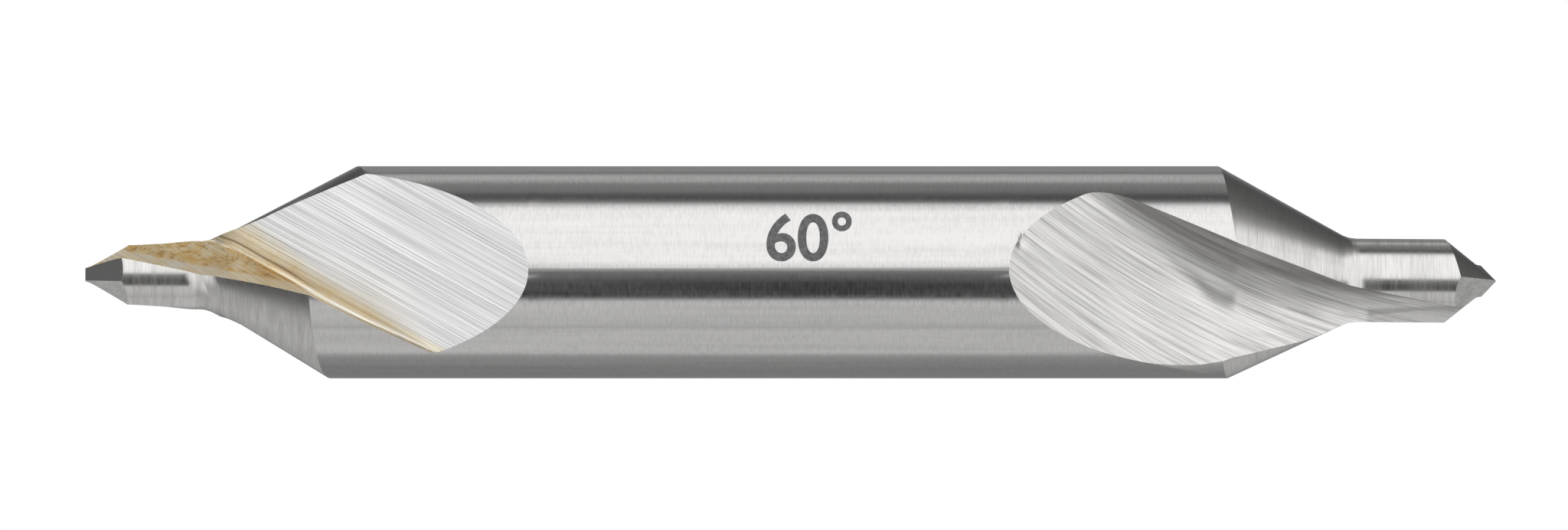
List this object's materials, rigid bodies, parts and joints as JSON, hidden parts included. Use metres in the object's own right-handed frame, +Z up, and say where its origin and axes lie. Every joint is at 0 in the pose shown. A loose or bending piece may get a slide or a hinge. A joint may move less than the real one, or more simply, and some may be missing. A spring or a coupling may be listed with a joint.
{
  "type": "centre drill",
  "caption": "Double-ended centre drill: a round steel shank with a short pilot drill, a countersink cone and two ground flutes at each end.",
  "frame": {"origin": "centre of the bounding box, which lies on the shank's axis", "axes": "+X along the drill towards the end whose flute leaves the longer cone land, +Z up as the drill lies, and the pictured side faces -Y"},
  "size_m": [0.0532, 0.008, 0.008],
  "materials": {
    "ground_steel": "ground and partly polished high-speed steel"
  },
  "bodies": {
    "root": {"centre_drill": "ground_steel"}
  },
  "joints": []
}
